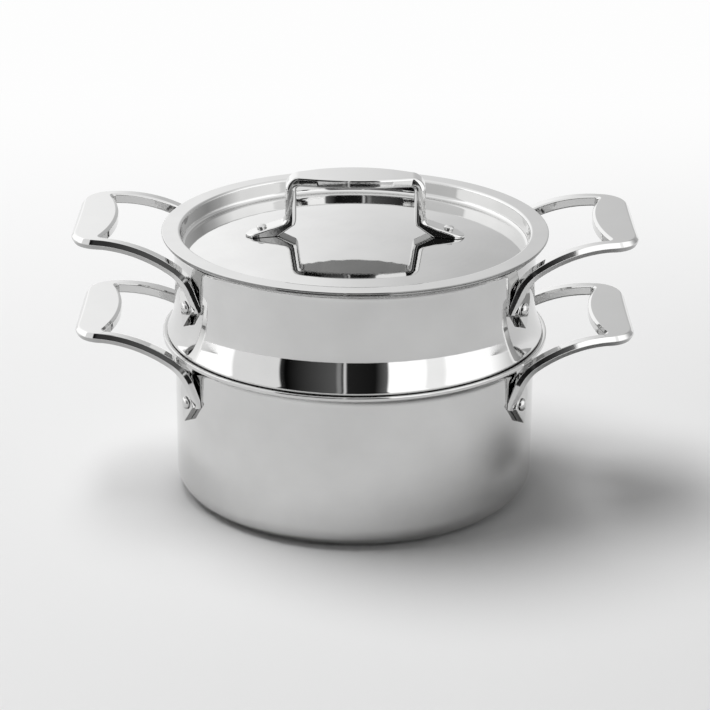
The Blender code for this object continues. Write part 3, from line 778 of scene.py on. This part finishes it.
def loft(half, axis):
    """Skin over half a casting's rings and their mirror image across one axis, capped at both ends."""
    form = bmesh.new()
    rings = [mirrored(ring, axis) for ring in half[:0:-1]] + half
    rows = [[form.verts.new(point) for point in ring] for ring in rings]
    for row, following in zip(rows, rows[1:]):
        for i in range(len(row)):
            j = (i + 1) % len(row)
            form.faces.new((row[i], row[j], following[j], following[i]))
    form.faces.new(rows[0])
    form.faces.new(rows[-1])
    bmesh.ops.recalc_face_normals(form, faces=form.faces)
    return form


def object_from(form, name):
    mesh = bpy.data.meshes.new(name)
    form.to_mesh(mesh)
    form.free()
    return add_object(name, mesh)


def combine(piece, tool, operation):
    step = piece.modifiers.new(tool.name, "BOOLEAN")
    step.operation = operation
    step.solver = "EXACT"
    step.object = tool


def baked(piece, name, finish, crease=30):
    """The piece with its modifiers worked in, shaded so that flat faces stay flat."""
    for last in (False, True):
        mesh = worked_in(piece)
        piece.modifiers.clear()
        piece.data = mesh
        if not last:
            mesh.shade_smooth()
            mesh.set_sharp_from_angle(angle=radians(crease))
            weighted = piece.modifiers.new("flat_faces", "WEIGHTED_NORMAL")
            weighted.keep_sharp = True
    piece.name = mesh.name = name
    mesh.materials.clear()
    mesh.materials.append(finish)
    print(name, len(mesh.vertices), "vertices", len(mesh.polygons), "faces")
    return piece


# %% [markdown]
# ## Lugs
# A lug is a thick plate, cut to a point below its rivet. Its outline is drawn flat and pushed into the wall,
# and then all that lies inside the shell is taken away, so that the back of each lug has exactly the wall's
# curve and the small gap of the frame.

# %% Lugs and whole side handles
GAP = 0.3 * MM
LUG_THICKNESS = 3.6 * MM
LUG_BLANK = 8 * MM
LUG_ARM_SIDE = ((8 * MM, -0.4 * MM), (4.5 * MM, 6 * MM), (0.5 * MM, 12.5 * MM))
LUG_INNER_CORNER = (-9.5 * MM, 12 * MM)
LUG_INNER_ROUND = 8 * MM
LUG_TIP = ((-4.5 * MM, -11.9 * MM), (-3.1 * MM, -12.5 * MM))
RIVET_SPREAD = 49.6 * MM
WALL_SPREAD = 58.4 * MM
LUG_EDGE = 0.45 * MM


def lug_outline():
    """Outline of a lug in the plane of the wall, (along the wall, height) from its rivet."""
    curved = fillet(LUG_ARM_SIDE[-1], LUG_INNER_CORNER, LUG_TIP[0], LUG_INNER_ROUND, steps=8)
    return list(LUG_ARM_SIDE) + curved + list(LUG_TIP)


def lug_pair(wall):
    """The two lugs of one handle, still with flat backs that reach into the wall."""
    form = bmesh.new()
    for side in (1, -1):
        place = Matrix.Rotation(side * asin(RIVET_SPREAD / wall), 4, "Z")
        seat = wall + GAP + LUG_THICKNESS
        face = form.faces.new([form.verts.new(place @ Vector((seat, side * along, height)))
                               for along, height in lug_outline()])
        moved = bmesh.ops.extrude_face_region(form, geom=[face])
        verts = [item for item in moved["geom"] if isinstance(item, bmesh.types.BMVert)]
        bmesh.ops.translate(form, verts=verts, vec=place @ Vector((-LUG_BLANK, 0.0, 0.0)))
    bmesh.ops.recalc_face_normals(form, faces=form.faces)
    lugs = object_from(form, "lugs")
    edges = lugs.modifiers.new("soft_edges", "BEVEL")
    edges.width = LUG_EDGE
    edges.segments = 3
    edges.angle_limit = radians(50)
    return lugs


def shell_space(top, side):
    """The space of a shell's lip and wall, with the gap that lugs and arms keep to them."""
    outer = [(side[0][0], top + GAP)] + [(radius, height - GAP) for radius, height in side]
    grown = [(radius + GAP, height) for radius, height in outer]
    return turned("shell_space", [(0.0, grown[0][1])] + grown + [(0.0, grown[-1][1])], CAST_STEEL)


def make_side_handles(body, wall, height, top, side, reach, rise):
    """The right handle of a shell, and the left one, which is the same casting turned half round."""
    root = sqrt(wall ** 2 - WALL_SPREAD ** 2)
    handle = object_from(loft(handle_rings(root, reach, rise), 1), "casting")
    lugs = lug_pair(wall)
    space = shell_space(top, side)
    space.data.transform(Matrix.Translation((0.0, 0.0, -height)))
    combine(handle, lugs, "UNION")
    combine(handle, space, "DIFFERENCE")
    right = baked(handle, body + "_right_handle", CAST_STEEL)
    right.data.transform(Matrix.Translation((0.0, 0.0, height)))
    left = add_object(body + "_left_handle", right.data.copy())
    left.data.name = left.name
    left.data.transform(Matrix.Rotation(pi, 4, "Z"))
    discard(lugs, space)
    return right, left


# %% Four side handles
POT_RIVET_HEIGHT = POT_HEIGHT - 27.7 * MM
INSERT_RIVET_HEIGHT = INSERT_TOP - 28.9 * MM
pot_wall = rolled_lip(POT_RADIUS, POT_LIP, POT_HEIGHT - POT_SHEET, steps=10) + [(POT_RADIUS, 0.0)]
insert_wall = insert_side()[:INSERT_LIP_STEPS + BAND_STEPS + 1]
pot_handles = make_side_handles("pot", POT_RADIUS, POT_RIVET_HEIGHT, POT_HEIGHT, pot_wall,
                                reach=73 * MM, rise=38.8 * MM)
insert_handles = make_side_handles("insert", INSERT_RADIUS, INSERT_RIVET_HEIGHT, INSERT_TOP, insert_wall,
                                   reach=73.8 * MM, rise=37.1 * MM)

# %% [markdown]
# ## The lid's handle
# The bridge handle is a second casting, made the same way: a barrel-shaped grip, two posts that drop straight
# down, and wedge feet that lie on the dome. Here the section is a plain bar with soft edges, and the side
# view carries the shape.

# %% Lid handle
BRIDGE_RISE = 34.2 * MM
BRIDGE_SAG = 1 * MM
BRIDGE_THICKNESS = 5.5 * MM
BRIDGE_HALF = 39.9 * MM
GRIP_HALF_WIDTH = 12.9 * MM
GRIP_RUN, GRIP_STEPS = 22 * MM, 16
BRIDGE_NECK = 32 * MM
BRIDGE_ARM = 6.3 * MM
CORNER_OUTSIDE, CORNER_INSIDE = 8 * MM, 2.5 * MM
HEEL_OUTSIDE, HEEL_INSIDE = 4.5 * MM, 9 * MM
INNER_HEEL, INNER_FOOT = 8 * MM, 4 * MM
ARM_HALF_WIDTH = 6.5 * MM
FOOT_LENGTH = 22.7 * MM
FOOT_HEEL = 7.5 * MM
FOOT_TIP_RISE = 1.4 * MM
FOOT_TIP_HALF_WIDTH = 1.4 * MM
FOOT_TIP = BRIDGE_HALF + FOOT_LENGTH
FOOT_BLANK = 2 * MM
FOOT_START, FOOT_STEPS = 0.3, 13
BAR_ROUND, POST_ROUND = 1.2 * MM, 2.4 * MM
POST_FADE = 8 * MM


def bridge_half_width(reach):
    """Half width of the lid handle: a barrel at the grip, even down the arm, round at the foot's tip."""
    bulge = max(0.0, 1 - (reach / BRIDGE_NECK) ** 2)
    past = max(0.0, reach - (FOOT_TIP - ARM_HALF_WIDTH))
    even = sqrt(max(FOOT_TIP_HALF_WIDTH ** 2, ARM_HALF_WIDTH ** 2 - past ** 2))
    return even + (GRIP_HALF_WIDTH - ARM_HALF_WIDTH) * bulge


def bar_round(reach):
    """Rounding of the bar's edges: soft on the two posts, tighter on the grip and the feet."""
    away = abs(reach - BRIDGE_HALF)
    return between(POST_ROUND, BAR_ROUND, soft_share(min(1.0, away / POST_FADE)))


def bridge_sides():
    """Outer and inner side of half the lid handle, as (reach, height), from its middle to its foot's tip."""
    top = DOME_TOP + BRIDGE_RISE
    under = top - BRIDGE_THICKNESS
    lid = dome_height(BRIDGE_HALF)
    arm_inner = BRIDGE_HALF - BRIDGE_ARM
    corner = (BRIDGE_HALF, top - BRIDGE_SAG)
    heel = (BRIDGE_HALF, lid + FOOT_HEEL)
    tip = (FOOT_TIP, dome_height(FOOT_TIP) + FOOT_TIP_RISE)
    inner_corner = (arm_inner, under - BRIDGE_SAG)
    inner_heel = (arm_inner, lid + INNER_HEEL)
    inner_foot = (arm_inner + INNER_FOOT, lid - FOOT_BLANK / 2)
    grip = [GRIP_RUN * i / GRIP_STEPS for i in range(GRIP_STEPS + 1)]
    sag = [BRIDGE_SAG * (reach / BRIDGE_HALF) ** 2 for reach in grip]
    outer = [(reach, top - drop) for reach, drop in zip(grip, sag)]
    inner = [(reach, under - drop) for reach, drop in zip(grip, sag)]
    outer += fillet(outer[-1], corner, heel, CORNER_OUTSIDE, steps=14)
    inner += fillet(inner[-1], inner_corner, inner_heel, CORNER_INSIDE, steps=14)
    outer += fillet(corner, heel, tip, HEEL_OUTSIDE, steps=10)
    inner += fillet(inner_corner, inner_heel, inner_foot, HEEL_INSIDE, steps=10)
    for i in range(FOOT_STEPS + 1):
        share = between(FOOT_START, 1.0, sin(pi / 2 * i / FOOT_STEPS))
        reach = BRIDGE_HALF + FOOT_LENGTH * share
        outer.append((reach, between(heel[1], tip[1], share)))
        inner.append((reach, dome_height(reach) - FOOT_BLANK))
    return outer, inner


def bridge_rings():
    """Rings of points of half the lid handle, from the middle of its grip to the tip of its foot."""
    rings = []
    for outer, inner in zip(*bridge_sides()):
        half = bridge_half_width(outer[0])
        down = Vector(inner) - Vector(outer)
        depth = down.length
        down = down / depth
        corners = [(-half, 0.0), (half, 0.0), (half, depth), (-half, depth)]
        section = rounded_loop(corners, [bar_round(outer[0])] * 4)
        rings.append([(outer[0] + down.x * deep, across, outer[1] + down.y * deep)
                      for across, deep in section])
    return rings


# %% Lid handle: cut to the dome and to its rivets
LID_RIVET_REACH = FOOT_TIP - 9.3 * MM
LID_RIVET_SEAT = 4.6 * MM
RIVET_HEAD = 3.7 * MM
LID_RIVET_HEAD = 3 * MM
SEAT_RADIUS = LID_RIVET_HEAD + 0.6 * MM
TOOL_DEPTH = 10 * MM
TOOL_REACH = 1.2 * FOOT_TIP
DOME_CENTRE = Vector((0.0, 0.0, DOME_TOP - DOME_RADIUS))


def lid_axis(side):
    """Unit vector square to the dome where a foot's rivet stands."""
    tilt = asin(LID_RIVET_REACH / DOME_RADIUS)
    return Vector((side * sin(tilt), 0.0, cos(tilt)))


def make_lid_handle():
    handle = object_from(loft(bridge_rings(), 0), "casting")
    dome = dome_line(TOOL_REACH, GAP)
    base = dome[-1][1] - TOOL_DEPTH
    space = turned("dome_space", dome + [(dome[-1][0], base), (0.0, base)], CAST_STEEL)
    seats = bmesh.new()
    for side in (1, -1):
        axis = lid_axis(side)
        middle = DOME_CENTRE + axis * (DOME_RADIUS + LID_RIVET_SEAT + TOOL_DEPTH / 2)
        bmesh.ops.create_cone(seats, cap_ends=True, segments=40, radius1=SEAT_RADIUS, radius2=SEAT_RADIUS,
                              depth=TOOL_DEPTH, matrix=aimed(middle, axis))
    seat_tool = object_from(seats, "rivet_seats")
    combine(handle, space, "DIFFERENCE")
    combine(handle, seat_tool, "DIFFERENCE")
    made = baked(handle, "lid_bridge", CAST_STEEL)
    discard(space, seat_tool)
    return made


lid_bridge = make_lid_handle()

# %% [markdown]
# ## Rivets
# Every rivet has a domed outer head and a low inner head, joined by a shank through the sheet. One turned
# blank is made for each body, and a tree sets a copy at each point, with its axis away from a centre: the
# pot's axis for the wall rivets, the middle of the dome's sphere for those of the lid.

# %% Rivet tree
def rivet_tree(finish):
    tree, given = new_tree("set_rivets", {"Blank": "Object", "Centre": "Vector"})
    place = tree.add("GeometryNodeInputPosition")
    away = tree.add("ShaderNodeVectorMath", {0: place, 1: given.part("Centre")}, operation="SUBTRACT")
    turn = tree.add("FunctionNodeAlignRotationToVector", {"Vector": away}, axis="Z")
    blank = tree.add("GeometryNodeObjectInfo", {"Object": given.part("Blank")}, "Geometry")
    points = tree.add("GeometryNodeMeshToPoints", {"Mesh": given})
    heads = tree.add("GeometryNodeInstanceOnPoints", {"Points": points, "Instance": blank, "Rotation": turn})
    return end_tree(tree, heads, finish)


# %% Rivet shapes
RIVET_SHANK = 2.5 * MM
RIVET_TURNS = 28
RIVET_DOME, LID_RIVET_DOME = 2 * MM, 1.1 * MM
INNER_HEAD, INNER_DOME = 5 * MM, 1.5 * MM


def quarter(steps):
    return [pi / 2 * i / steps for i in range(steps + 1)]


def rivet_section(head, dome, grip, inner_head):
    """A rivet from the top of its domed head down its shank to its low inner head."""
    cap = [(head * sin(t), dome * cos(t)) for t in quarter(10)]
    low = [(inner_head * cos(t), -grip - INNER_DOME * sin(t)) for t in quarter(8)[:-1]]
    return cap + [(RIVET_SHANK, 0.0), (RIVET_SHANK, -grip)] + low + [(0.0, -grip - INNER_DOME)]


def set_rivets(name, places, centre, section):
    blank = turned("rivet_blank", section, RIVET_STEEL, RIVET_TURNS)
    made = run_tree(name, rivet_tree(RIVET_STEEL), places, {"Blank": blank, "Centre": centre})
    discard(blank)
    return made


def wall_rivets(name, wall, sheet, height):
    """The four rivets of a shell's side handles."""
    seat = wall + LUG_THICKNESS + 2 * GAP
    turn = asin(RIVET_SPREAD / wall)
    turns = (turn, pi - turn, pi + turn, -turn)
    places = [(seat * cos(t), seat * sin(t), height) for t in turns]
    inner_seat = sqrt((wall - sheet) ** 2 - INNER_HEAD ** 2) - GAP
    section = rivet_section(RIVET_HEAD, RIVET_DOME, seat - inner_seat, INNER_HEAD)
    return set_rivets(name, places, (0.0, 0.0, height), section)


pot_rivets = wall_rivets("pot_rivets", POT_RADIUS, POT_SHEET, POT_RIVET_HEIGHT)
insert_rivets = wall_rivets("insert_rivets", INSERT_RADIUS, INSERT_SHEET, INSERT_RIVET_HEIGHT)
lid_seat = DOME_RADIUS + LID_RIVET_SEAT + GAP
lid_places = [tuple(DOME_CENTRE + lid_axis(side) * lid_seat) for side in (1, -1)]
lid_section = rivet_section(LID_RIVET_HEAD, LID_RIVET_DOME, LID_RIVET_SEAT + LID_SHEET + 2 * GAP, RIVET_HEAD)
lid_rivets = set_rivets("lid_rivets", lid_places, tuple(DOME_CENTRE), lid_section)

# %% [markdown]
# ## Who stands for what
# Each fine piece rides on its body and replaces the plain solid of the frame, which stays for collision.

# %% Shells on their bodies
def settle(piece, body, slot, *nodes):
    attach(piece, body)
    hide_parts(*nodes)


settle(pot_shell, "pot", "pot_steel", "pot_body")
settle(insert_shell, "insert", "sheet_steel", "insert_body")
settle(lid_shell, "lid", "sheet_steel", "lid_cover")
for body, handles in (("pot", pot_handles), ("insert", insert_handles)):
    for word, handle in zip(("right", "left"), handles):
        settle(handle, body, "cast_steel", f"{body}_handle_{word}")
settle(lid_bridge, "lid", "cast_steel", "lid_handle")
corners = ("left_front", "left_rear", "right_front", "right_rear")
for body, rivets in (("pot", pot_rivets), ("insert", insert_rivets)):
    settle(rivets, body, "rivet_steel", *[f"{body}_rivet_{corner}" for corner in corners])
settle(lid_rivets, "lid", "rivet_steel", "lid_rivet_left", "lid_rivet_right")

# %% [markdown]
# ## The studio
# Polished steel has hardly a colour of its own: it shows the room. Here that is a pale floor and a ring of
# light panels with one dark opening at the front, round the camera, which draws the black lines that make
# steel read as steel. In front, the steel sees the floor only as far as a round board would reach, and the
# dark opening past its edge. The camera itself sees only the pale floor and a pale backdrop.

# %% World
# Each panel edge: degrees to the right of the camera, seen from the pot, and its grey.
PANELS = (
    (-180, 0.96), (-177, 1.08), (-171, 1.24), (-110, 1.6), (-79, 1.6), (-78, 1.0), (-46, 0.98), (-45.5, 0.05),
    (-42, 0.0), (-36, 0.02), (-11, 0.12), (-10.5, 0.3), (-8, 0.3), (-7.5, 0.02), (-6.3, 0.02), (-6, 0.95),
    (-5, 0.95), (-4.7, 0.02), (13, 0.01), (20, 0.16), (20.6, 1.6), (44, 1.55), (45, 1.25), (56, 1.25),
    (57, 1.6), (90, 1.5), (110, 0.7), (125, 0.45), (150, 0.6), (171, 0.68), (175, 0.8), (180, 0.96))
OVERHEAD_START, OVERHEAD_END = 0.62, 0.8
OVERHEAD_GREY = 1.1
AMBIENT_GREY = 0.11
BACKDROP_GREY = 0.98


def set_stops(ramp, stops):
    """Stops of a ramp as (place, grey) pairs."""
    while len(ramp.elements) > 1:
        ramp.elements.remove(ramp.elements[-1])
    for i, (place, grey) in enumerate(stops):
        stop = ramp.elements[0] if i == 0 else ramp.elements.new(place)
        stop.position = place
        stop.color = (grey, grey, grey, 1.0)


def make_world():
    """Panels and an overhead for the steel, a weak even light for the floor, a backdrop for the camera."""
    world = bpy.data.worlds.new("studio")
    world.use_nodes = True
    SCENE.world = world
    tree = Tree(world.node_tree)
    x, y, z = tree.split(tree.add("ShaderNodeTexCoord", output="Generated"))
    azimuth = x.sum("ARCTAN2", x, 0 - y) / (2 * pi) + 0.5
    ring = tree.add("ShaderNodeValToRGB", {"Fac": azimuth}, "Color")
    set_stops(ring.output.node.color_ramp, [((turn + 180) / 360, grey) for turn, grey in PANELS])
    room = tree.mix(z.ramp(OVERHEAD_START, OVERHEAD_END), ring, OVERHEAD_GREY)
    camera_ray = tree.add("ShaderNodeLightPath", output="Is Camera Ray")
    lit = tree.mix(camera_ray.part("Is Glossy Ray"), AMBIENT_GREY, room)
    tree.feed(world.node_tree.nodes["Background"], {"Color": tree.mix(camera_ray, lit, BACKDROP_GREY)})


make_world()
print("studio", len(PANELS), "panel edges")

# %% Floor
FLOOR_SIZE = 12.0
FLOOR_GREY = 0.8
FLOOR_MOTTLE, MOTTLE_TONE = 3.0, 0.01
BOARD_RADIUS = 0.7
BOARD_EDGE = 0.01
BOARD_SIDES = (-0.1, 0.2)
HAZE = (-0.05, 0.85)
HAZE_STRENGTH = 0.985


def floor_finish():
    """A pale floor that fades to white behind, and that the steel loses past the board's edge in front."""
    made, tree, surface = new_finish("floor", metallic=0.0)
    place = tree.add("ShaderNodeTexCoord", output="Object")
    shade = FLOOR_GREY + (noise(tree, place, FLOOR_MOTTLE) - 0.5) * MOTTLE_TONE
    tree.feed(surface, {"Roughness": 0.6, "Specular IOR Level": 0.2, "Base Color": tree.tone(shade)})
    reach = tree.add("ShaderNodeVectorMath", {0: place}, "Value", operation="LENGTH")
    depth = tree.split(place)[1]
    glossy = tree.add("ShaderNodeLightPath", output="Is Glossy Ray")
    seen = glossy + glossy.part("Is Camera Ray") + glossy.part("Is Transmission Ray")
    plain = Socket(tree, surface.outputs["BSDF"])
    white = tree.add("ShaderNodeEmission", {"Color": (1.0, 1.0, 1.0, 1.0), "Strength": HAZE_STRENGTH})
    hazy = tree.add("ShaderNodeMixShader", {"Fac": seen * depth.ramp(*HAZE), 1: plain, 2: white})
    past_board = reach.ramp(BOARD_RADIUS, BOARD_RADIUS + BOARD_EDGE) * (1 - depth.ramp(*BOARD_SIDES))
    gone = tree.add("ShaderNodeBsdfTransparent")
    mixed = tree.add("ShaderNodeMixShader", {"Fac": glossy * past_board, 1: hazy, 2: gone})
    tree.feed(made.node_tree.nodes["Material Output"], {"Surface": mixed})
    return made


def make_floor():
    form = bmesh.new()
    bmesh.ops.create_grid(form, x_segments=2, y_segments=2, size=FLOOR_SIZE / 2)
    floor = object_from(form, "floor")
    floor.data.materials.append(floor_finish())


make_floor()
print("floor", FLOOR_SIZE, "m wide")

# %% Key light
KEY_PLACE = Vector((-1.15, 0.62, 3.35))
KEY_SIZE = 2.8
KEY_POWER = 137.0


def make_key():
    data = bpy.data.lights.new("key", "AREA")
    data.shape = "DISK"
    data.size = KEY_SIZE
    data.energy = KEY_POWER
    key = add_object("key", data)
    key.matrix_world = aimed(KEY_PLACE, KEY_PLACE)
    key.visible_glossy = False


make_key()
print("key light", KEY_SIZE, "m wide,", KEY_POWER, "W")
